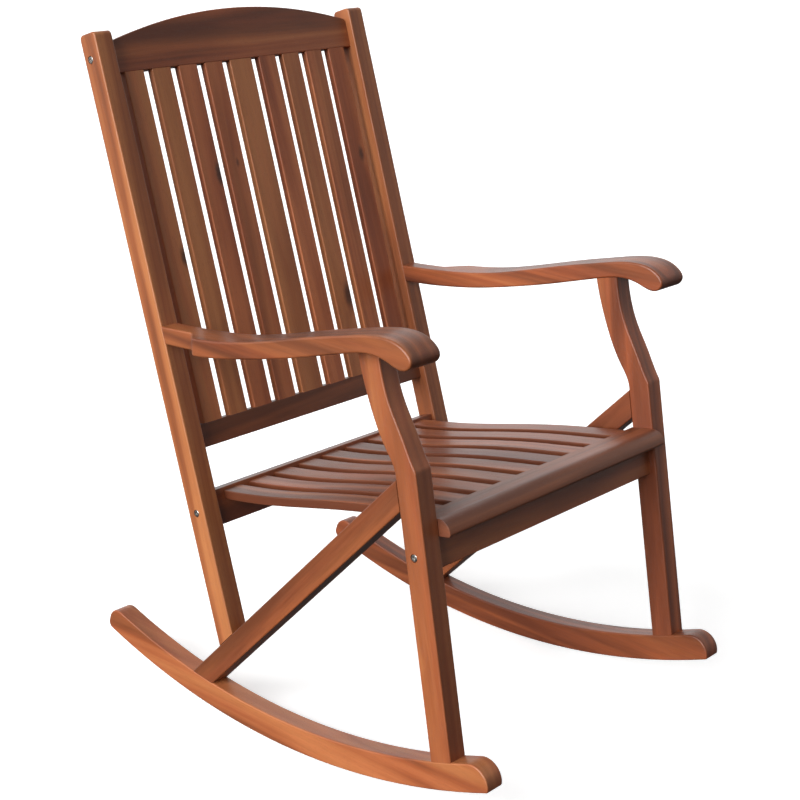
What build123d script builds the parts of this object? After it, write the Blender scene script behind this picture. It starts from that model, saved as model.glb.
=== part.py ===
"""Slatted wooden porch rocking chair, built as separate boards, slats and fasteners.

Millimetres, +Z up.  The seat faces -Y, the back is towards +Y and the chair is
mirror-symmetric about the plane X = 0.  The sitter's left hand is on +X.
The chair rests on the floor Z = 0 at the lowest point of the two rocker arcs.
"""
import os
from math import atan, cos, sin, sqrt, tan

from build123d import *

# ---------------------------------------------------------------- side frames
HALF_OUT = 308.0        # chair centre to the outer face of posts, legs, rockers
STOCK = 35.0            # thickness of every side-frame board
HALF_IN = HALF_OUT - STOCK
FRAME_X = HALF_OUT - STOCK / 2
EASE = 2.5              # eased long edges of the frame boards
REACH = 700.0           # cutting regions reach past the chair's ends
SKY = 1400.0            # and past its top

# ---------------------------------------------------------------- rockers
ROCKER_R = 1286.0       # radius of the floor arc
ROCKER_Y = 35.6         # centre of the floor arc
ROCKER_Z = -1.8         # lowest point of the floor arc
ROCKER_H = 45.5         # depth of the rocker board
ROCKER_FRONT = -447.0
ROCKER_REAR = 451.0
ROCKER_NOSE = 30.0      # roll-down at the front tip
ROCKER_HEEL = 26.0      # rounding at the top of the rear end
ROCKER_TAIL = 11.0      # and at its bottom
ROCKER_TIP = 5.0        # rounding at the bottom of the front end
REST_ROLL = 1.72        # degrees the balanced chair rolls back from the drawing position

# ---------------------------------------------------------------- front legs
LEG_LEAN = atan(0.166)  # backward lean of the lower part
LEG_Y0 = -393.4         # front face of the leg carried down to the floor
LEG_DEPTH = 41.0
LEG_FOOT = 90.0         # blank end below the rocker top, before trimming
KNEE_Z = 556.0          # the leg bends here at its front
HOCK_Z = 538.0          # and here at its rear
KNEE_ROUND = 14.0
LEG_FRONT = [(-274.8, 603.0), (-249.2, 649.0), (-232.8, 698.0), (-226.2, 737.0)]  # above the knee
LEG_REAR = [(-242.0, 578.0), (-209.5, 642.0), (-192.0, 693.0), (-181.5, 737.0)]   # above the hock

# ---------------------------------------------------------------- rear posts and back
POST_LEAN = atan(0.298)
POST_Y0 = 62.2          # front face of the post carried down to the floor
POST_DEPTH = 41.0
POST_LENGTH = 1181.0    # measured along the front face from floor level
POST_FOOT = 120.0
POST_CROWN = 8.0        # rounded corners at the top end
RAIL_SETBACK = 13.5     # crest and lower rail behind the post faces
RAIL_T = 24.0
CREST_LOW = 1112.0      # straight lower edge of the crest, along the back
CREST_END_H = 51.0
CREST_MID_H = 90.0
CREST_CORNER = 8.0
RAIL_EASE = 2.0
LOWER_RAIL_LOW = 480.0
LOWER_RAIL_H = 40.0
RAIL_TENON = 15.0
TENON_SHOULDER = 6.0

# ---------------------------------------------------------------- slats
SLATS = 9
BACK_SLAT_W = 40.0
BACK_SLAT_MID_W = 50.0  # the middle slat is broader
BACK_SLAT_GAP = 17.4
BACK_SLAT_T = 13.0
BACK_SLAT_SETBACK = 14.0
SLAT_TENON = 12.0
SEAT_SLAT_PITCH = 58.2
SEAT_SLAT_W = 39.5
SEAT_SLAT_T = 15.5
SEAT_TENON = 10.0
SEAT_LINE = [(-273.5, 471.4), (-172.0, 455.0), (-50.0, 430.0), (70.0, 402.9), (184.8, 384.0)]
SEAT_REAR_FALL = 0.13   # slope of the seat where it meets the rear rail
SLAT_EASE = 1.8

# ---------------------------------------------------------------- side braces
BRACE_SUM = 272.5       # upper edge runs at 45 degrees along Y + Z = BRACE_SUM
BRACE_DEPTH = 40.0
BRACE_FOOT_Z = 53.3     # where the middle of the brace meets the top of the rocker
BRACE_FRONT = -330.0    # ends of its blank, before trimming
BRACE_REAR = 260.0

# ---------------------------------------------------------------- seat rails
SEAT_RAIL_SETBACK = 7.5
SEAT_RAIL_T = 26.0
SEAT_RAIL_LOW = 348.0   # along the back plane
SEAT_RAIL_H = 60.0
BOARD_TOP = 484.7       # front board, along the leg plane
BOARD_T = 27.0
BOARD_NOSE = 21.6       # projection in front of the legs
BOARD_ROLL = 21.0       # rounding of its upper front edge
BOARD_LIP = 5.0         # and of its lower front edge
BOARD_EASE = 0.8
APRON_SETBACK = 12.4
APRON_T = 22.0
APRON_H = 53.0

# ---------------------------------------------------------------- armrests
ARM_OUT = 337.0         # outer face of the broad part
ARM_SHOULDER = (150.0, 186.0)  # where the broad part ends and where the neck begins
ARM_SHOULDER_R = 14.0
ARM_FRONT = -330.0      # plan outline reaches past the scrolled nose
ARM_ROUND = 3.0         # rounded rims all round the arm
ARM_TOP = [(290, 665.0), (164, 672.0), (66, 684.0), (-27, 704.8), (-117, 728.0), (-192, 745.3), (-274, 756.0)]
ARM_NOSE = [(-305, 746.5), (-318, 729.0), (-311, 718.0), (-296, 714.5), (-276, 720.0)]
ARM_LOW = [(-250, 726.0), (-187, 717.0), (-73, 686.5), (19, 665.5), (90, 652.0), (164, 642.5), (290, 636.0)]

# ---------------------------------------------------------------- fasteners
DOWEL_D = 10.0
DOWEL_L = 40.0
DOWEL_SPREAD = 8.5      # half the spacing of paired dowels
FOOT_DOWEL_UP = 121.0   # where the leg meets the rocker, up the leg
POST_DOWEL_UP = 176.0   # where the post meets the brace, up the back
ARM_DOWEL_Y = -209.5
ARM_DOWEL_Z = 717.0     # where the leg meets the underside of the arm
BOLT_D = 6.0
BOLT_L = 72.0           # under the head
BOLT_HEAD_D = 12.0
BOLT_HEAD_H = 4.0
BOLT_SOCKET = 5.0       # across the flats of the hexagon key hole
BOLT_SOCKET_DEEP = 2.5
BOLT_BEVEL = 1.2
HEAD_GAP = 0.6          # clearance round bolt and screw heads
CREST_BOLT_UP = 27.0    # each bolt's height above the lower edge of its board
SEAT_RAIL_BOLT_UP = 30.0
APRON_BOLT_UP = 27.0
SCREW_D = 5.0
SCREW_L = 62.0
SCREW_HEAD_D = 10.0
SCREW_HEAD_H = 3.5
SCREW_SINK = 5.0        # head below the rear face of the post
BOARD_DOWEL_D = 8.0
BOARD_DOWEL_L = 32.0
BOARD_DOWEL_X = (-180.0, 0.0, 180.0)


# ================================================================ geometry helpers
def lean_plane(foot_y, lean):
    """Plane of a leaning front face: x across, y up the face, z out of the front."""
    normal = (0, -cos(lean), sin(lean))
    return Plane(origin=(0, foot_y, 0), x_dir=(1, 0, 0), z_dir=normal)


BACK = lean_plane(POST_Y0, POST_LEAN)
LEG = lean_plane(LEG_Y0, LEG_LEAN)


def rocker_z(y, lift=0.0):
    """Height of the rocker arc, lifted by `lift` towards its centre."""
    return ROCKER_Z + ROCKER_R - sqrt((ROCKER_R - lift) ** 2 - (y - ROCKER_Y) ** 2)


def side_point(plane, up, out):
    """(y, z) of a point given in one of the leaning planes."""
    p = plane.from_local_coords(Vector(0, up, out))
    return (p.Y, p.Z)


def side_face(*curves):
    """Side outline drawn in (y, z)."""
    return make_face(Curve() + list(curves))


def side_solid(face, x_from, x_to):
    return extrude(Plane.YZ.offset(x_from) * face, x_to - x_from)


def round_corners(solid, corners):
    """Round the cross edges of a board at named outline corners: list of ((y, z), radius)."""
    for (y, z), radius in corners:
        across = solid.edges().filter_by(Axis.X)
        middle = solid.bounding_box().center().X
        solid = fillet(across.sort_by_distance((middle, y, z))[0], radius)
    return solid


def ease_sides(solid, radius):
    """Ease the edges round the two flat faces of a side-frame board."""
    faces = solid.faces().filter_by(Axis.X).sort_by(Axis.X)
    return fillet(faces[0].edges() + faces[-1].edges(), radius)


def eased_along(solid, axis, radius):
    """Ease the edges of a straight board that run along one axis."""
    return fillet(solid.edges().filter_by(axis), radius)


def mirrored(solid):
    return mirror(solid, about=Plane.YZ)


def block(plane, x_range, up_range, out_range):
    """Square block in a leaning plane."""
    size = [b - a for a, b in (x_range, up_range, out_range)]
    mid = [(a + b) / 2 for a, b in (x_range, up_range, out_range)]
    return plane * Pos(*mid) * Box(*size)


def rod(start, direction, radius, length):
    """Cylinder from `start` along `direction`."""
    return Plane(origin=start, z_dir=direction) * Cylinder(
        radius, length, align=(Align.CENTER, Align.CENTER, Align.MIN)
    )


# ================================================================ outlines in (y, z)
def rocker():
    front = (ROCKER_FRONT, rocker_z(ROCKER_FRONT))
    rear = (ROCKER_REAR, rocker_z(ROCKER_REAR))
    inwards = Vector(ROCKER_Y - rear[0], ROCKER_Z + ROCKER_R - rear[1]).normalized() * ROCKER_H
    heel = (rear[0] + inwards.X, rear[1] + inwards.Y)
    toe = (ROCKER_FRONT, rocker_z(ROCKER_FRONT, ROCKER_H))
    face = side_face(
        ThreePointArc(front, (ROCKER_Y, ROCKER_Z), rear),
        Line(rear, heel),
        ThreePointArc(heel, (ROCKER_Y, ROCKER_Z + ROCKER_H), toe),
        Line(toe, front),
    )
    board = side_solid(face, HALF_IN, HALF_OUT)
    corners = [(toe, ROCKER_NOSE), (front, ROCKER_TIP), (heel, ROCKER_HEEL), (rear, ROCKER_TAIL)]
    return ease_sides(round_corners(board, corners), EASE)


def above_rockers():
    """Everything above the rocker top, as a cutter for feet standing on it."""
    left = (-REACH, rocker_z(-REACH, ROCKER_H))
    right = (REACH, rocker_z(REACH, ROCKER_H))
    return side_face(
        ThreePointArc(left, (ROCKER_Y, ROCKER_Z + ROCKER_H), right),
        Line(right, (REACH, SKY)),
        Line((REACH, SKY), (-REACH, SKY)),
        Line((-REACH, SKY), left),
    )


def leg_blank():
    """Straight lower leg, knee at seat level, then a swept-back upper part."""
    depth = LEG_DEPTH / cos(LEG_LEAN)
    toe = (LEG_Y0 + LEG_FOOT * tan(LEG_LEAN), LEG_FOOT)
    knee = (LEG_Y0 + KNEE_Z * tan(LEG_LEAN), KNEE_Z)
    heel = (toe[0] + depth, LEG_FOOT)
    hock = (LEG_Y0 + HOCK_Z * tan(LEG_LEAN) + depth, HOCK_Z)
    face = side_face(
        Line(toe, knee),
        Spline([knee] + LEG_FRONT, tangents=[(0.58, 0.82), (0.15, 1.0)]),
        Line(LEG_FRONT[-1], LEG_REAR[-1]),
        Spline([hock] + LEG_REAR, tangents=[(sin(LEG_LEAN), cos(LEG_LEAN)), (0.2, 1.0)]),
        Line(hock, heel),
        Line(heel, toe),
    )
    board = side_solid(face, HALF_IN, HALF_OUT)
    return ease_sides(round_corners(board, [(knee, KNEE_ROUND)]), EASE)


def post_blank():
    front_top = side_point(BACK, POST_LENGTH, 0)
    rear_top = side_point(BACK, POST_LENGTH, -POST_DEPTH)
    front_low = side_point(BACK, POST_FOOT, 0)
    rear_low = side_point(BACK, POST_FOOT, -POST_DEPTH)
    face = side_face(
        Line(front_low, front_top),
        Line(front_top, rear_top),
        Line(rear_top, rear_low),
        Line(rear_low, front_low),
    )
    board = side_solid(face, HALF_IN, HALF_OUT)
    return ease_sides(round_corners(board, [(front_top, POST_CROWN), (rear_top, POST_CROWN)]), EASE)


def brace_outline():
    """45 degree strip, longer than needed at both ends."""
    low_sum = BRACE_SUM - BRACE_DEPTH * sqrt(2)
    upper = [(y, BRACE_SUM - y) for y in (BRACE_REAR, BRACE_FRONT)]
    lower = [(y, low_sum - y) for y in (BRACE_FRONT, BRACE_REAR)]
    return make_face(Polyline(upper + lower, close=True))


def above_brace():
    """Region above the brace, where the rear post stands."""
    low = BRACE_SUM - REACH
    points = [(BRACE_SUM - SKY, SKY), (REACH, low), (SKY, low), (SKY, SKY)]
    return make_face(Polyline(points, close=True))


def behind_leg():
    """Region behind the rear face of the front leg."""
    low = side_point(LEG, 0, -LEG_DEPTH)
    high = side_point(LEG, REACH, -LEG_DEPTH)
    return make_face(Polyline([low, high, (REACH, high[1]), (REACH, low[1])], close=True))


def arm_outline():
    """Waved strip: along the top to the front, round the scrolled nose and back underneath."""
    points = [Vector(*point) for point in ARM_TOP + ARM_NOSE + ARM_LOW]
    return side_face(Spline(points, tangents=[(-1, 0.02), (1, -0.02)]), Line(ARM_LOW[-1], ARM_TOP[0]))


def before_post():
    """Region in front of the post faces, where the armrest ends."""
    low = side_point(BACK, 0, 0)
    high = side_point(BACK, POST_LENGTH, 0)
    return make_face(Polyline([low, high, (-REACH, high[1]), (-REACH, low[1])], close=True))


# ================================================================ side frame parts (left, +X)
def wide(face):
    """Cutter made from a side region, wider than any frame board."""
    return side_solid(face, 0, REACH)


def front_leg():
    return (leg_blank() & wide(above_rockers())) - wide(arm_outline())


def rear_post():
    return post_blank() & wide(above_brace())


def side_brace():
    brace = ease_sides(side_solid(brace_outline(), HALF_IN, HALF_OUT), EASE)
    return brace & wide(above_rockers()) & wide(behind_leg())


def armrest_plan():
    """Block with the plan outline of the armrest: a narrow neck and a slanting shoulder."""
    outline = [
        (HALF_IN, ARM_FRONT),
        (ARM_OUT, ARM_FRONT),
        (ARM_OUT, ARM_SHOULDER[0]),
        (HALF_OUT, ARM_SHOULDER[1]),
        (HALF_OUT, ARM_TOP[0][0]),
        (HALF_IN, ARM_TOP[0][0]),
    ]
    plan = extrude(make_face(Polyline(outline, close=True)), SKY)
    for x, y in outline[2:4]:
        upright = plan.edges().filter_by(Axis.Z)
        plan = fillet(upright.sort_by_distance((x, y, SKY / 2))[0], ARM_SHOULDER_R)
    return plan


def armrest():
    """Waved board with a narrow neck at the post and a scrolled nose."""
    arm = side_solid(arm_outline(), HALF_IN, ARM_OUT) & armrest_plan()
    rims = [edge for edge in arm.edges() if edge.geom_type != GeomType.LINE]
    return fillet(rims, ARM_ROUND) & wide(before_post())


# ================================================================ back
def slat_step(index):
    """Places from the middle slat, counting slats 1 to 9 from the sitter's right."""
    return index - (SLATS + 1) // 2


def back_slat_x(index):
    """Centre of a back slat: even gaps on both sides of a broader middle slat."""
    step = slat_step(index)
    if step == 0:
        return 0
    inner = (BACK_SLAT_MID_W - BACK_SLAT_W) / 2
    return step * (BACK_SLAT_W + BACK_SLAT_GAP) + (inner if step > 0 else -inner)


def crest_rail():
    """Arched top edge, straight lower edge, rounded upper end corners."""
    low_l, low_r = (-HALF_IN, CREST_LOW), (HALF_IN, CREST_LOW)
    top_l, top_r = (-HALF_IN, CREST_LOW + CREST_END_H), (HALF_IN, CREST_LOW + CREST_END_H)
    face = make_face(
        Curve()
        + [
            Line(low_l, low_r),
            Line(low_r, top_r),
            ThreePointArc(top_r, (0, CREST_LOW + CREST_MID_H), top_l),
            Line(top_l, low_l),
        ]
    )
    rail = extrude(BACK.offset(-RAIL_SETBACK - RAIL_T) * face, RAIL_T)
    ends = rail.edges().filter_by(Axis(BACK.origin, BACK.z_dir)).sort_by(Axis.Z)[-2:]
    rail = fillet(ends, CREST_CORNER)
    long_edges = [e for e in rail.edges() if abs(e.tangent_at(0.5).X) > 0.3]
    return fillet(long_edges, RAIL_EASE)


def lower_back_rail():
    """Rail under the back slats, with a blind tenon into each post."""
    up = (LOWER_RAIL_LOW, LOWER_RAIL_LOW + LOWER_RAIL_H)
    out = (-RAIL_SETBACK - RAIL_T, -RAIL_SETBACK)
    rail = eased_along(block(BACK, (-HALF_IN, HALF_IN), up, out), Axis.X, RAIL_EASE)
    reach = HALF_IN + RAIL_TENON
    tenon_up = (up[0] + TENON_SHOULDER, up[1] - TENON_SHOULDER)
    tenon_out = (out[0] + TENON_SHOULDER, out[1] - TENON_SHOULDER)
    return rail + block(BACK, (-reach, reach), tenon_up, tenon_out)


def back_slat(index):
    width = BACK_SLAT_W if slat_step(index) else BACK_SLAT_MID_W
    x = back_slat_x(index)
    up = (LOWER_RAIL_LOW + LOWER_RAIL_H - SLAT_TENON, CREST_LOW + SLAT_TENON)
    out = (-BACK_SLAT_SETBACK - BACK_SLAT_T, -BACK_SLAT_SETBACK)
    slat = block(BACK, (x - width / 2, x + width / 2), up, out)
    return eased_along(slat, Axis(BACK.origin, BACK.y_dir), SLAT_EASE)


# ================================================================ seat
def rear_seat_rail():
    up = (SEAT_RAIL_LOW, SEAT_RAIL_LOW + SEAT_RAIL_H)
    out = (-SEAT_RAIL_SETBACK - SEAT_RAIL_T, -SEAT_RAIL_SETBACK)
    return eased_along(block(BACK, (-HALF_IN, HALF_IN), up, out), Axis.X, RAIL_EASE)


def seat_front_board():
    """Board between the legs with a broad rolled front edge."""
    outline = [
        side_point(LEG, BOARD_TOP, -LEG_DEPTH),
        side_point(LEG, BOARD_TOP, BOARD_NOSE),
        side_point(LEG, BOARD_TOP - BOARD_T, BOARD_NOSE),
        side_point(LEG, BOARD_TOP - BOARD_T, -LEG_DEPTH),
    ]
    board = side_solid(make_face(Polyline(outline, close=True)), -HALF_IN, HALF_IN)
    board = round_corners(board, [(outline[1], BOARD_ROLL), (outline[2], BOARD_LIP)])
    ends = board.faces().filter_by(Axis.X)
    return fillet(ends.edges(), BOARD_EASE)


def front_apron():
    top = BOARD_TOP - BOARD_T
    out = (-APRON_SETBACK - APRON_T, -APRON_SETBACK)
    apron = block(LEG, (-HALF_IN, HALF_IN), (top - APRON_H, top), out)
    return fillet(apron.edges().filter_by(Axis.X).sort_by(Axis.Z)[:2], RAIL_EASE)


def seat_slat(index):
    """Waved seat slat housed in the front board and in the rear rail."""
    x = slat_step(index) * SEAT_SLAT_PITCH
    front, rear = SEAT_LINE[0], SEAT_LINE[-1]
    front_fall = tan(LEG_LEAN)
    front_end = (front[0] - SEAT_TENON, front[1] + SEAT_TENON * front_fall)
    rear_end = (rear[0] + SEAT_TENON, rear[1] - SEAT_TENON * SEAT_REAR_FALL)
    top = [front_end] + SEAT_LINE + [rear_end]
    low = [(y, z - SEAT_SLAT_T) for y, z in top]
    tangents = [(1, -front_fall), (1, -SEAT_REAR_FALL)]
    face = side_face(
        Spline([Vector(*p) for p in top], tangents=tangents),
        Line(top[-1], low[-1]),
        Spline([Vector(*p) for p in low], tangents=tangents),
        Line(low[0], top[0]),
    )
    slat = side_solid(face, x - SEAT_SLAT_W / 2, x + SEAT_SLAT_W / 2)
    long_edges = [edge for edge in slat.edges() if edge.geom_type != GeomType.LINE]
    return fillet(long_edges, SLAT_EASE)


# ================================================================ fasteners
def centred_dowel(x, y, z, direction):
    """Wooden dowel with its middle on a joint."""
    axis = Vector(*direction).normalized()
    start = Vector(x, y, z) - axis * (DOWEL_L / 2)
    return chamfer(rod(start, axis, DOWEL_D / 2, DOWEL_L).edges(), 1)


def foot_dowels(x):
    """Two dowels between the front leg and the rocker."""
    spots = [side_point(LEG, FOOT_DOWEL_UP, -LEG_DEPTH / 2 + shift) for shift in (-DOWEL_SPREAD, DOWEL_SPREAD)]
    return [centred_dowel(x, y, z, LEG.y_dir) for y, z in spots]


def brace_dowels(x):
    """One dowel at each end of the side brace, along its length."""
    centre_sum = BRACE_SUM - BRACE_DEPTH / sqrt(2)
    leg_rear_y = LEG_Y0 + LEG_DEPTH / cos(LEG_LEAN)
    at_leg = (centre_sum - leg_rear_y) / (1 + tan(LEG_LEAN))
    return [centred_dowel(x, centre_sum - z, z, (0, -1, 1)) for z in (BRACE_FOOT_Z, at_leg)]


def post_dowel(x):
    """Dowel between the rear post and the side brace."""
    y, z = side_point(BACK, POST_DOWEL_UP, -POST_DEPTH / 2)
    return [centred_dowel(x, y, z, BACK.y_dir)]


def arm_dowels(x):
    """Two upright dowels between the front leg and the armrest."""
    places = [ARM_DOWEL_Y + shift for shift in (-DOWEL_SPREAD, DOWEL_SPREAD)]
    return [centred_dowel(x, y, ARM_DOWEL_Z, (0, 0, 1)) for y in places]


def frame_dowels(x):
    return foot_dowels(x) + brace_dowels(x) + post_dowel(x) + arm_dowels(x)


def board_dowels():
    """Short dowels between the front board and the apron under it."""
    out = -APRON_SETBACK - APRON_T / 2
    pins = []
    for x in BOARD_DOWEL_X:
        start = LEG.from_local_coords(Vector(x, BOARD_TOP - BOARD_T - BOARD_DOWEL_L / 2, out))
        pins.append(rod(start, LEG.y_dir, BOARD_DOWEL_D / 2, BOARD_DOWEL_L))
    return pins


def frame_bolt(y, z):
    """Bolt driven inwards through a frame board on +X, head flush with the outer face."""
    seat = HALF_OUT - BOLT_HEAD_H
    head = rod((seat, y, z), (1, 0, 0), BOLT_HEAD_D / 2, BOLT_HEAD_H)
    head = chamfer(head.faces().sort_by(Axis.X)[-1].edges(), BOLT_BEVEL)
    shank = rod((seat, y, z), (-1, 0, 0), BOLT_D / 2, BOLT_L)
    hexagon = RegularPolygon(BOLT_SOCKET / 2, 6, major_radius=False)
    key = extrude(Plane.YZ.offset(HALF_OUT - BOLT_SOCKET_DEEP) * Pos(y, z) * hexagon, BOLT_HEAD_H)
    return head + shank - key


def bolt_hole(y, z):
    """Clearance for a bolt head and a tight hole for its shank."""
    seat = HALF_OUT - BOLT_HEAD_H
    recess = rod((seat, y, z), (1, 0, 0), BOLT_HEAD_D / 2 + HEAD_GAP, STOCK)
    return recess + rod((seat, y, z), (-1, 0, 0), BOLT_D / 2, BOLT_L)


def arm_screw(x):
    """Screw through the rear post into the end of the armrest."""
    y, z = screw_head()
    head = rod((x, y, z), (0, 1, 0), SCREW_HEAD_D / 2, SCREW_HEAD_H)
    head = chamfer(head.faces().sort_by(Axis.Y)[-1].edges(), 1)
    return head + rod((x, y, z), (0, -1, 0), SCREW_D / 2, SCREW_L)


def arm_screw_hole(x):
    y, z = screw_head()
    recess = rod((x, y, z), (0, 1, 0), SCREW_HEAD_D / 2 + HEAD_GAP, STOCK)
    return recess + rod((x, y, z), (0, -1, 0), SCREW_D / 2, SCREW_L)


def screw_head():
    """Underside of the arm screw head, sunk below the rear face of the post."""
    z = (ARM_TOP[0][1] + ARM_LOW[-1][1]) / 2 + 1
    rear_face = POST_Y0 + (z * sin(POST_LEAN) + POST_DEPTH) / cos(POST_LEAN)
    return (rear_face - SCREW_SINK - SCREW_HEAD_H, z)


def both_sides(solids):
    return solids + [mirrored(solid) for solid in solids]


def cut(parts, name, cutters):
    """Cut the same holes on the left part and, mirrored, on the right part."""
    if name in parts:
        parts[name] = parts[name] - both_sides(cutters)
        return
    parts[name + "_left"] = parts[name + "_left"] - cutters
    parts[name + "_right"] = parts[name + "_right"] - [mirrored(c) for c in cutters]


def board_middle(plane, up, setback, thickness):
    """(y, z) in the middle of the thickness of a board set back from a leaning plane."""
    return side_point(plane, up, -setback - thickness / 2)


BOLTS = {
    "crest_bolts": (
        "rear_post", "crest_rail", board_middle(BACK, CREST_LOW + CREST_BOLT_UP, RAIL_SETBACK, RAIL_T)
    ),
    "seat_rail_bolts": (
        "rear_post",
        "rear_seat_rail",
        board_middle(BACK, SEAT_RAIL_LOW + SEAT_RAIL_BOLT_UP, SEAT_RAIL_SETBACK, SEAT_RAIL_T),
    ),
    "apron_bolts": (
        "front_leg",
        "front_apron",
        board_middle(LEG, BOARD_TOP - BOARD_T - APRON_H + APRON_BOLT_UP, APRON_SETBACK, APRON_T),
    ),
}


# ================================================================ assembly
def boards():
    """All wooden boards and slats before any joint is cut."""
    parts = {}
    left = {
        "rocker": rocker(),
        "front_leg": front_leg(),
        "rear_post": rear_post(),
        "side_brace": side_brace(),
        "armrest": armrest(),
    }
    for name, solid in left.items():
        parts[name + "_left"] = solid
        parts[name + "_right"] = mirrored(solid)
    parts["crest_rail"] = crest_rail()
    parts["lower_back_rail"] = lower_back_rail()
    parts["rear_seat_rail"] = rear_seat_rail()
    parts["seat_front_board"] = seat_front_board()
    parts["front_apron"] = front_apron()
    for index in range(1, SLATS + 1):
        parts[f"back_slat_{index}"] = back_slat(index)
        parts[f"seat_slat_{index}"] = seat_slat(index)
    return parts


def cut_housings(parts):
    """Mortises for the slats and for the tenons of the lower back rail."""
    back = [parts[f"back_slat_{index}"] for index in range(1, SLATS + 1)]
    seat = [parts[f"seat_slat_{index}"] for index in range(1, SLATS + 1)]
    parts["crest_rail"] = parts["crest_rail"] - back
    parts["rear_seat_rail"] = parts["rear_seat_rail"] - seat
    parts["seat_front_board"] = parts["seat_front_board"] - seat
    for side in ("left", "right"):
        parts["rear_post_" + side] = parts["rear_post_" + side] - parts["lower_back_rail"]
    parts["lower_back_rail"] = parts["lower_back_rail"] - back


def add_fasteners(parts):
    """Bolts, screws and dowels, each with matching holes in the wood."""
    for name, (outer, inner, (y, z)) in BOLTS.items():
        cut(parts, outer, [bolt_hole(y, z)])
        cut(parts, inner, [bolt_hole(y, z)])
        parts[name] = Compound(both_sides([frame_bolt(y, z)]))
    for name in ("rear_post", "armrest"):
        cut(parts, name, [arm_screw_hole(FRAME_X)])
    parts["arm_screws"] = Compound(both_sides([arm_screw(FRAME_X)]))
    for name, pins in {
        "rocker": foot_dowels(FRAME_X) + brace_dowels(FRAME_X)[:1],
        "front_leg": foot_dowels(FRAME_X) + brace_dowels(FRAME_X)[1:] + arm_dowels(FRAME_X),
        "side_brace": brace_dowels(FRAME_X) + post_dowel(FRAME_X),
        "rear_post": post_dowel(FRAME_X),
        "armrest": arm_dowels(FRAME_X),
    }.items():
        cut(parts, name, pins)
    parts["frame_dowels"] = Compound(both_sides(frame_dowels(FRAME_X)))
    pins = board_dowels()
    parts["seat_front_board"] = parts["seat_front_board"] - pins
    parts["front_apron"] = parts["front_apron"] - pins
    parts["board_dowels"] = Compound(pins)


def at_rest(parts):
    """Roll the chair back on its arcs until it balances, then centre it over the origin."""
    axis = Axis((0, ROCKER_Y, ROCKER_Z + ROCKER_R), (1, 0, 0))
    parts = {name: solid.rotate(axis, -REST_ROLL) for name, solid in parts.items()}
    boxes = [solid.bounding_box() for solid in parts.values()]
    middle = (min(b.min.Y for b in boxes) + max(b.max.Y for b in boxes)) / 2
    return {name: Pos(0, -middle, -ROCKER_Z) * solid for name, solid in parts.items()}


def build():
    parts = boards()
    cut_housings(parts)
    add_fasteners(parts)
    return at_rest(parts)


if __name__ == "__main__":
    os.makedirs("parts", exist_ok=True)
    for name, solid in build().items():
        export_step(solid, f"parts/{name}.step")
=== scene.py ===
"""A slatted wooden rocking chair: oiled hardwood on every board, plated steel on the fasteners.

The frame holds every piece of the chair. This script gives each piece its own cut of wood, with
the grain along the board, and adds the floor, the lights and the camera. Lengths are in metres.
"""
import math
import random

import bpy
from mathutils import Euler, Matrix, Vector


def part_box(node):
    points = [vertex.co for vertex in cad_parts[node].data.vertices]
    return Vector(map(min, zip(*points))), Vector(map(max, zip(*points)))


SEED = 11

# ---------------------------------------------------------------- directions of the boards
ACROSS = Vector((1, 0, 0))
LENGTHWAYS = Vector((0, 1, 0))
UPRIGHT = Vector((0, 0, 1))
LEG_LEAN = math.radians(11.2)       # front legs, backwards from upright
POST_LEAN = math.radians(18.4)      # rear posts and the back slats
BRACE_FALL = math.radians(46.8)     # side braces, down towards the back
SEAT_FALL = math.radians(12.5)      # seat slats, down towards the back


def leaning(angle):
    """The direction of a board that leans backwards from upright."""
    return Vector((0, math.sin(angle), math.cos(angle)))


def falling(angle):
    """The direction of a board that runs backwards and falls."""
    return Vector((0, math.cos(angle), -math.sin(angle)))


# ---------------------------------------------------------------- colours, linear light
# a palette is the wood's dark, middle and light colour
HEARTWOOD = ((0.112, 0.029, 0.011), (0.312, 0.088, 0.030), (0.490, 0.172, 0.063))
DOWEL_WOOD = ((0.250, 0.140, 0.070), (0.420, 0.270, 0.150), (0.560, 0.390, 0.240))
KNOT_CORE = (0.020, 0.007, 0.004)
OLIVE_TINT = (0.98, 1.03, 0.96)
RED_TINT = (1.04, 0.92, 0.90)
DULL_STEEL = (0.36, 0.35, 0.33)
BRIGHT_STEEL = (0.72, 0.71, 0.69)
PALE_FLOOR = ((0.86, 0.86, 0.86), (0.88, 0.88, 0.88))
WHITE = (1, 1, 1, 1)


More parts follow.
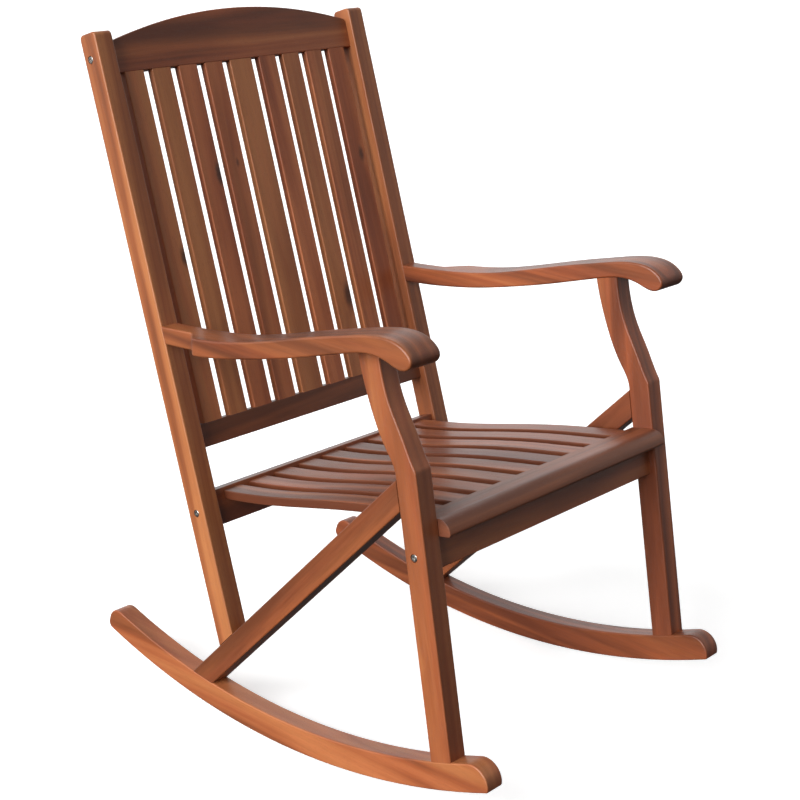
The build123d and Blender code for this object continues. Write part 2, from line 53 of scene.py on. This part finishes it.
class Graph:
    """Adds shader nodes to one tree and joins them up."""

    def __init__(self, tree):
        self.tree = tree

    def add(self, kind, inputs=None, **settings):
        node = self.tree.nodes.new(kind)
        for name, value in settings.items():
            setattr(node, name, value)
        for name, value in (inputs or {}).items():
            self.feed(node.inputs[name], value)
        return node

    def feed(self, socket, value):
        if isinstance(value, bpy.types.NodeSocket):
            self.tree.links.new(value, socket)
        elif socket.type == "RGBA" and len(value) == 3:
            socket.default_value = (*value, 1)
        else:
            socket.default_value = value

    def math(self, operation, *values, clamp=False):
        node = self.add("ShaderNodeMath", operation=operation, use_clamp=clamp)
        for socket, value in zip(node.inputs, values):
            self.feed(socket, value)
        return node.outputs[0]

    def vector(self, operation, *values):
        node = self.add("ShaderNodeVectorMath", operation=operation)
        for socket, value in zip(node.inputs, values):
            self.feed(socket, value)
        return node.outputs["Value" if operation in ("LENGTH", "DOT_PRODUCT") else "Vector"]

    def split(self, vector):
        node = self.add("ShaderNodeSeparateXYZ", {"Vector": vector})
        return node.outputs

    def join(self, x, y, z):
        return self.add("ShaderNodeCombineXYZ", {"X": x, "Y": y, "Z": z}).outputs[0]

    def noise(self, vector, scale, detail=3.0, roughness=0.55, colour=False):
        """Noise whose scale is a number, or one number for each axis, in cycles a metre."""
        if not isinstance(scale, (int, float)):
            vector = self.vector("MULTIPLY", vector, scale)
            scale = 1.0
        node = self.add("ShaderNodeTexNoise", {"Vector": vector, "Scale": scale, "Detail": detail,
                                               "Roughness": roughness})
        return node.outputs["Color" if colour else "Fac"]

    def ramp(self, factor, low, high, to_low=0.0, to_high=1.0):
        """Maps low..high smoothly to to_low..to_high."""
        node = self.add("ShaderNodeMapRange", {"Value": factor, "From Min": low, "From Max": high,
                                               "To Min": to_low, "To Max": to_high},
                        interpolation_type="SMOOTHSTEP")
        return node.outputs[0]

    def colours(self, factor, stops):
        """A colour for each factor, from stops of a place and its colour."""
        node = self.add("ShaderNodeValToRGB", {"Fac": factor})
        elements = node.color_ramp.elements
        while len(elements) < len(stops):
            elements.new(0.5)
        for element, (place, colour) in zip(elements, stops):
            element.position = place
            element.color = (*colour, 1)
        return node.outputs["Color"]

    def mix(self, factor, a, b, blend="MIX"):
        node = self.add("ShaderNodeMix", data_type="RGBA", blend_type=blend)
        for socket, value in ((node.inputs[0], factor), (node.inputs[6], a), (node.inputs[7], b)):
            self.feed(socket, value)
        return node.outputs[2]


# ---------------------------------------------------------------- the wood, as one node group
WOOD_INPUTS = (("Board", "NodeSocketVector"), ("Grain", "NodeSocketVector"),
               ("Painted shade side", "NodeSocketVector"), ("Knot", "NodeSocketVector"),
               ("Knot size", "NodeSocketFloat"), ("Pith", "NodeSocketVector"),
               ("Tone", "NodeSocketFloat"), ("Hue", "NodeSocketFloat"),
               ("Dark", "NodeSocketColor"), ("Middle", "NodeSocketColor"),
               ("Light", "NodeSocketColor"))
WOOD_OUTPUTS = (("Colour", "NodeSocketColor"), ("Roughness", "NodeSocketFloat"),
                ("Height", "NodeSocketFloat"))

# noise scales in cycles a metre: one number, or one each for across, through and along the board
WANDER_SCALE = (7, 7, 1.3)
STREAK_SCALE = 62
DRIFT_SCALE = (18, 18, 2.6)
HUE_SCALE = (42, 42, 1.5)
FIBRE_SCALE = (1500, 1500, 26)
COARSE_FIBRE_SCALE = (420, 420, 9)
PORE_SCALE = (2300, 2300, 75)
KNOT_EDGE_SCALE = 160

RING_WANDER = 0.018         # how far the growth rings wander off their place, in metres
RING_WIDTH = 0.0042
RING_TAPER = 0.004          # how quickly the bands change along the board
# how far each pattern moves the wood from dark to light
STREAK_WEIGHT = 0.80
RING_WEIGHT = 0.13
COARSE_FIBRE_WEIGHT = 0.14
DRIFT_WEIGHT = 0.60
TONE_SPAN = 0.36            # the tone at which the wood is as light as its lightest colour
# how far each feature goes to its own dark colour
PORE_SHADE = 0.35
KNOT_SHADE = 0.85
END_GRAIN_SHADE = 0.45
# painted shade on a given side: the seat slats' shaded gap sides, and the near front leg's front
# and back
PAINTED_SIDE_SHADE = 0.88

KNOT_FLATTEN = 0.35         # a knot runs deep into the board
KNOT_STRETCH = 0.42         # and is longer along the board than across it
KNOT_EDGE = 0.0035          # how uneven its rim is, in metres
KNOT_PUSH = 1.4             # how far the rings bend round it, in knot radii
NO_KNOT = (0.0, 1.0, 0.0)   # across, along, radius
NOWHERE = Vector((0, 0, 0))
GRAIN_RUNOUT = math.radians(1.3)
LOG_LENGTH = 40.0           # each board comes from its own place in a very long log


def knot_field(g, board, knot, size):
    """How far the board's knot bends the rings at a place, and how deep the place lies in it."""
    x, y, z = g.split(g.vector("SUBTRACT", board, knot))
    unevenness = g.math("SUBTRACT", g.noise(board, KNOT_EDGE_SCALE, 2), 0.5)
    rounded = g.join(g.math("ADD", x, g.math("MULTIPLY", unevenness, KNOT_EDGE)),
                     g.math("MULTIPLY", y, KNOT_FLATTEN), g.math("MULTIPLY", z, KNOT_STRETCH))
    distance = g.math("DIVIDE", g.vector("LENGTH", rounded), g.math("MAXIMUM", size, 0.0001))
    push = g.math("DIVIDE", 1.0, g.math("ADD", 1.0, g.math("MULTIPLY", distance, distance)))
    depth = g.ramp(distance, 0.25, 1.1, 1.0, 0.0)
    return g.math("MULTIPLY", push, g.math("MULTIPLY", size, KNOT_PUSH)), depth


def wood_group():
    """Solid wood in board coordinates: X across the board, Y through it, Z along its grain."""
    tree = bpy.data.node_groups.new("Hardwood", "ShaderNodeTree")
    for name, kind in WOOD_INPUTS:
        tree.interface.new_socket(name, in_out="INPUT", socket_type=kind)
    for name, kind in WOOD_OUTPUTS:
        tree.interface.new_socket(name, in_out="OUTPUT", socket_type=kind)
    g = Graph(tree)
    given = g.add("NodeGroupInput").outputs
    board = given["Board"]

    wander = g.vector("SUBTRACT", g.noise(board, WANDER_SCALE, 2, colour=True), (0.5, 0.5, 0.5))
    placed = g.vector("ADD", board, g.vector("MULTIPLY", wander, (RING_WANDER, RING_WANDER, 0)))
    push, in_knot = knot_field(g, placed, given["Knot"], given["Knot size"])
    radial = g.vector("MULTIPLY", g.vector("SUBTRACT", placed, given["Pith"]), (1, 1, 0))
    radius = g.math("ADD", g.vector("LENGTH", radial), push)
    along = g.split(board)[2]

    # bands of growth, from broad streaks down to single rings
    ring_place = g.join(radius, 0.0, g.math("MULTIPLY", along, RING_TAPER))
    streaks = g.noise(ring_place, STREAK_SCALE, 2, 0.5)
    rings = g.noise(ring_place, 1 / RING_WIDTH, 2, 0.5)
    drift = g.noise(board, DRIFT_SCALE, 3, 0.5)
    # fibres and pores run along the grain
    fibre = g.noise(placed, FIBRE_SCALE, 3, 0.6)
    coarse_fibre = g.noise(placed, COARSE_FIBRE_SCALE, 3, 0.6)
    pores = g.ramp(g.noise(placed, PORE_SCALE, 1, 0.4), 0.62, 0.74)

    level = given["Tone"]
    for pattern, weight in ((streaks, STREAK_WEIGHT), (rings, RING_WEIGHT),
                            (coarse_fibre, COARSE_FIBRE_WEIGHT), (drift, DRIFT_WEIGHT)):
        level = g.math("ADD", level, g.math("MULTIPLY", g.math("SUBTRACT", pattern, 0.5), weight))
    # the lower half of the share goes from dark to middle, the upper half from middle to light
    share = g.ramp(level, -TONE_SPAN, TONE_SPAN)
    dark_half = g.mix(g.math("MULTIPLY", share, 2.0, clamp=True), given["Dark"], given["Middle"])
    upper = g.math("SUBTRACT", g.math("MULTIPLY", share, 2.0), 1.0, clamp=True)
    colour = g.mix(upper, dark_half, given["Light"])
    hue = g.ramp(g.math("ADD", g.noise(board, HUE_SCALE, 2), given["Hue"]), 0.25, 0.75)
    colour = g.mix(1.0, colour, g.mix(hue, RED_TINT, OLIVE_TINT), "MULTIPLY")
    fibre_shade = g.ramp(fibre, 0.25, 0.75, 0.94, 1.05)
    colour = g.mix(1.0, colour, g.join(fibre_shade, fibre_shade, fibre_shade), "MULTIPLY")
    colour = g.mix(g.math("MULTIPLY", pores, PORE_SHADE), colour, given["Dark"])
    knot_colour = g.mix(0.75, given["Dark"], KNOT_CORE)
    colour = g.mix(g.math("MULTIPLY", in_knot, KNOT_SHADE), colour, knot_colour)

    # cut ends drink more oil, so they are darker and duller
    normal = g.add("ShaderNodeNewGeometry").outputs["Normal"]
    facing = g.math("ABSOLUTE", g.vector("DOT_PRODUCT", normal, given["Grain"]))
    end_grain = g.ramp(facing, 0.70, 0.97)
    colour = g.mix(g.math("MULTIPLY", end_grain, END_GRAIN_SHADE), colour, given["Dark"])
    # painted shade: the given side is darker, fully when the vector is 1 long, and partly when it
    # is shorter
    facing = g.math("ABSOLUTE", g.vector("DOT_PRODUCT", normal, given["Painted shade side"]))
    painted_shade = g.ramp(facing, 0.55, 0.95)
    colour = g.mix(g.math("MULTIPLY", painted_shade, PAINTED_SIDE_SHADE), colour, given["Dark"])

    rough = g.ramp(coarse_fibre, 0.2, 0.8, 0.36, 0.50)
    rough = g.math("ADD", rough, g.math("MULTIPLY", end_grain, 0.15))
    rough = g.math("ADD", rough, g.math("MULTIPLY", pores, 0.10))
    height = g.math("ADD", g.math("MULTIPLY", fibre, 0.35), g.math("MULTIPLY", coarse_fibre, 0.45))
    height = g.math("ADD", height, g.math("MULTIPLY", rings, 0.30))
    height = g.math("SUBTRACT", height, g.math("MULTIPLY", pores, 0.55))
    g.add("NodeGroupOutput", {"Colour": colour, "Roughness": rough, "Height": height})
    return tree


def board_frame(grain, face):
    """Rows that turn a place in the chair's frame into board coordinates."""
    along = grain.normalized()
    through = (face - along * face.dot(along)).normalized()
    return Matrix((through.cross(along), through, along))


def empty_material(name):
    """A material with no nodes in it, and the graph to fill it."""
    material = bpy.data.materials.new(name)
    material.use_nodes = True
    material.node_tree.nodes.clear()
    return material, Graph(material.node_tree)


def wood(name, group, grain, face, palette=HEARTWOOD, tone=0.0, hue=0.0, knot=NO_KNOT,
         painted_shade=NOWHERE):
    """One board's own material: where it was cut from the log decides its figure."""
    low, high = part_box(name)
    middle = (low + high) / 2
    off_grain = [draw.uniform(-GRAIN_RUNOUT, GRAIN_RUNOUT) for _ in range(2)]
    frame_rows = Euler((*off_grain, 0)).to_matrix() @ board_frame(grain, face)
    material, g = empty_material(f"wood_{name}")
    place = g.add("ShaderNodeTexCoord").outputs["Object"]
    board = g.add("ShaderNodeMapping", {"Vector": place, "Location": -(frame_rows @ middle),
                                        "Rotation": frame_rows.to_euler("XYZ")}).outputs[0]
    log_place = draw.uniform(-LOG_LENGTH, LOG_LENGTH)
    knot_across, knot_along, knot_size = knot
    made = g.add("ShaderNodeGroup", {
        "Board": g.vector("ADD", board, (0, 0, log_place)),
        # the side given as painted_shade is darkened as painted shade
        "Grain": grain.normalized(), "Painted shade side": painted_shade,
        "Knot": (knot_across, 0, knot_along + log_place), "Knot size": knot_size,
        "Pith": (draw.uniform(-0.05, 0.05), draw.uniform(0.03, 0.09), 0),
        "Tone": tone + draw.uniform(-0.05, 0.05), "Hue": hue + draw.uniform(-0.15, 0.15),
        "Dark": palette[0], "Middle": palette[1], "Light": palette[2]}, node_tree=group)
    bump = g.add("ShaderNodeBump", {"Height": made.outputs["Height"], "Strength": 0.35,
                                    "Distance": 0.0006})
    shader = g.add("ShaderNodeBsdfPrincipled", {
        "Base Color": made.outputs["Colour"], "Roughness": made.outputs["Roughness"],
        "Normal": bump.outputs[0], "IOR": 1.5, "Coat Weight": 0.22, "Coat Roughness": 0.25})
    g.add("ShaderNodeOutputMaterial", {"Surface": shader.outputs[0]})
    return material


def steel():
    """Zinc-plated steel, lightly brushed, with a few dull spots."""
    material, g = empty_material("plated_steel")
    place = g.add("ShaderNodeTexCoord").outputs["Object"]
    spots = g.noise(place, 900, 4, 0.6)
    brushed = g.noise(place, (9000, 900, 900), 3, 0.6)
    colour = g.colours(spots, ((0.30, DULL_STEEL), (0.75, BRIGHT_STEEL)))
    rough = g.ramp(spots, 0.3, 0.8, 0.42, 0.24)
    bump = g.add("ShaderNodeBump", {"Height": brushed, "Strength": 0.25, "Distance": 0.0001})
    shader = g.add("ShaderNodeBsdfPrincipled", {
        "Base Color": colour, "Metallic": 1.0, "Roughness": rough, "Normal": bump.outputs[0]})
    g.add("ShaderNodeOutputMaterial", {"Surface": shader.outputs[0]})
    return material


# ---------------------------------------------------------------- which wood each board is
# tone is darker below 0 and lighter above it; hue is redder below 0 and more olive above it;
# a knot is its place across and along the board from the board's middle, and its radius
# the back slats' tones are partly their own wood and partly painted light: all are lifted for the
# light they catch from above, and slat 1 most, against the shadow of the post
BACK_SLAT_TRAITS = {1: {"tone": 0.30, "hue": 0.1, "knot": (-0.016, -0.019, 0.0095)},
                    2: {"tone": 0.22, "hue": 0.15},
                    3: {"tone": 0.06, "hue": -0.2, "knot": (-0.014, 0.108, 0.0115)},
                    4: {"tone": 0.12, "knot": (-0.0035, 0.1207, 0.0050)},
                    5: {"tone": 0.12, "hue": 0.1},
                    6: {"tone": 0.04, "hue": -0.2},
                    7: {"tone": 0.14, "knot": (-0.016, -0.150, 0.0140)},
                    8: {"tone": 0.06},
                    9: {"tone": 0.04, "hue": -0.1, "knot": (-0.008, 0.098, 0.0090)}}
SIDE_TRAITS = (("left", -0.06, 0.0), ("right", 0.04, 0.78))     # side, tone, painted shade on its leg; the far left side's lower tone is painted shade too
LEG_KNOT = (0.012, -0.16, 0.006)
CROSS_RAIL_TONES = {"crest_rail": -0.15, "lower_back_rail": -0.22, "rear_seat_rail": -0.15}


def dress(nodes):
    """Gives every piece of the chair its material: wood on the boards and steel on the rest."""
    group = wood_group()
    metal = steel()
    back_face = -leaning(POST_LEAN).cross(ACROSS)
    boards = {}
    for side, tone, leg_painted_shade in SIDE_TRAITS:
        boards[f"rocker_{side}"] = (LENGTHWAYS, ACROSS, {"tone": tone})
        # the near right leg's front and back faces get painted shade, for the shade on its front
        boards[f"front_leg_{side}"] = (leaning(LEG_LEAN), ACROSS, {
            "tone": tone, "knot": LEG_KNOT, "painted_shade": LENGTHWAYS * leg_painted_shade})
        boards[f"rear_post_{side}"] = (leaning(POST_LEAN), ACROSS, {"tone": tone + 0.10,
                                                                    "hue": 0.3})
        boards[f"side_brace_{side}"] = (falling(BRACE_FALL), ACROSS, {"tone": tone - 0.06})
        boards[f"armrest_{side}"] = (LENGTHWAYS, UPRIGHT, {"tone": tone - 0.12})
    for rail, tone in CROSS_RAIL_TONES.items():
        boards[rail] = (ACROSS, back_face, {"tone": tone})
    # the seat front board and the apron are darker as painted shade, for the little light that
    # reaches their fronts
    boards["seat_front_board"] = (ACROSS, leaning(LEG_LEAN), {"tone": -0.16})
    boards["front_apron"] = (ACROSS, LENGTHWAYS, {"tone": -0.10})
    for number, traits in BACK_SLAT_TRAITS.items():
        boards[f"back_slat_{number}"] = (leaning(POST_LEAN), back_face, traits)
        # the seat slats' side faces get painted shade, for the shade down in the gaps between them
        boards[f"seat_slat_{number}"] = (falling(SEAT_FALL), UPRIGHT, {"tone": -0.08,
                                                                       "painted_shade": ACROSS})
    for dowels in ("frame_dowels", "board_dowels"):
        boards[dowels] = (UPRIGHT, ACROSS, {"palette": DOWEL_WOOD})
    for name in sorted(nodes):
        if name in boards:
            grain, face, traits = boards[name]
            material = wood(name, group, grain, face, **traits)
        else:
            material = metal
        for slot in nodes[name].material_slots:
            slot.material = material


# ---------------------------------------------------------------- floor, lights and camera
FLOOR_HALF = 40.0
FLOOR_GLOW = 0.55           # the floor is a lit sweep, so that it stays white round the soft shadow
BACKDROP_SIDE = Vector((0.70, 0.66, 0.10))      # the bright white wall stands behind the chair
ROOM_LIGHT = 0.14
BACKDROP_LIGHT = 1.10
BELOW_LIGHT = 0.08          # shares of the room's light that come from below and from high up
ABOVE_LIGHT = 0.25
# each sun: the way its light travels, its strength, and how wide it looks in degrees
KEY_SUN = ((0.92, -0.03, -0.39), 5.0, 50)
FILL_SUN = ((0.25, 0.60, -0.76), 0.22, 70)
CAMERA_AT = Vector((-1.9564, -1.7712, 1.4579))
CAMERA_LOOK = Vector((0.6958, 0.6410, -0.3241))
CAMERA_UP = Vector((0.2226, 0.2366, 0.9458))
CAMERA_LENS = 74.6
CAMERA_SHIFT = (0.00895, -0.0189)


def lay_floor():
    """A wide pale floor under the rockers."""
    mesh = bpy.data.meshes.new("floor")
    corners = [(x * FLOOR_HALF, y * FLOOR_HALF, 0) for x, y in ((-1, -1), (1, -1), (1, 1), (-1, 1))]
    mesh.from_pydata(corners, [], [(0, 1, 2, 3)])
    floor = bpy.data.objects.new("floor", mesh)
    bpy.context.scene.collection.objects.link(floor)
    material = bpy.data.materials.new("pale_floor")
    material.use_nodes = True
    g = Graph(material.node_tree)
    shader = material.node_tree.nodes["Principled BSDF"]
    place = g.add("ShaderNodeTexCoord").outputs["Object"]
    tint = g.colours(g.noise(place, 3, 2), ((0.3, PALE_FLOOR[0]), (0.7, PALE_FLOOR[1])))
    g.feed(shader.inputs["Base Color"], tint)
    shader.inputs["Roughness"].default_value = 0.9
    shader.inputs["Emission Color"].default_value = WHITE
    shader.inputs["Emission Strength"].default_value = FLOOR_GLOW
    floor.data.materials.append(material)
    # the floor throws no light back on the chair, whose fronts and undersides stay dark
    floor.visible_diffuse = False
    floor.visible_glossy = False


def soft_sun(name, travels, strength, spread):
    """A very wide sun, like a large softbox far away."""
    light = bpy.data.lights.new(name, "SUN")
    light.energy = strength
    light.angle = math.radians(spread)
    lamp = bpy.data.objects.new(name, light)
    lamp.rotation_euler = Vector(travels).to_track_quat("-Z", "Y").to_euler()
    bpy.context.scene.collection.objects.link(lamp)


def light_studio():
    """A white wall behind the chair, a dim room round it, and two soft suns."""
    world = bpy.data.worlds.new("studio")
    world.use_nodes = True
    g = Graph(world.node_tree)
    direction = g.add("ShaderNodeTexCoord").outputs["Generated"]
    towards_wall = g.vector("DOT_PRODUCT", direction, BACKDROP_SIDE.normalized())
    background = world.node_tree.nodes["Background"]
    background.inputs["Color"].default_value = WHITE
    strength = g.ramp(towards_wall, -0.2, 0.8, ROOM_LIGHT, BACKDROP_LIGHT)
    height = g.split(direction)[2]
    for ends in ((-0.4, -0.02, BELOW_LIGHT, 1.0), (0.45, 0.80, 1.0, ABOVE_LIGHT)):
        strength = g.math("MULTIPLY", strength, g.ramp(height, *ends))
    g.feed(background.inputs["Strength"], strength)
    bpy.context.scene.world = world
    soft_sun("key", *KEY_SUN)
    soft_sun("fill", *FILL_SUN)


def place_camera():
    """Sets the camera where the photograph was taken from."""
    camera = bpy.data.objects.new("camera", bpy.data.cameras.new("camera"))
    back = -CAMERA_LOOK.normalized()
    right = CAMERA_UP.cross(back).normalized()
    up = back.cross(right)
    turn = Matrix((right, up, back)).transposed().to_4x4()
    camera.matrix_world = Matrix.Translation(CAMERA_AT) @ turn
    camera.data.lens = CAMERA_LENS
    camera.data.shift_x, camera.data.shift_y = CAMERA_SHIFT
    bpy.context.scene.collection.objects.link(camera)
    bpy.context.scene.camera = camera


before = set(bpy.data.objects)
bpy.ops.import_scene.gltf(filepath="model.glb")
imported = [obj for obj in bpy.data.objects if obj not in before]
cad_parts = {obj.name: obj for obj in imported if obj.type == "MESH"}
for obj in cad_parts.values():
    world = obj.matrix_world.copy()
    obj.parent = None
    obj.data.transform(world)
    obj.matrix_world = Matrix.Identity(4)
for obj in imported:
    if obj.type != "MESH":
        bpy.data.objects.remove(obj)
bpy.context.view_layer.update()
draw = random.Random(SEED)
bpy.context.scene.view_settings.view_transform = "Standard"
place_camera()
dress(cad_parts)
lay_floor()
light_studio()
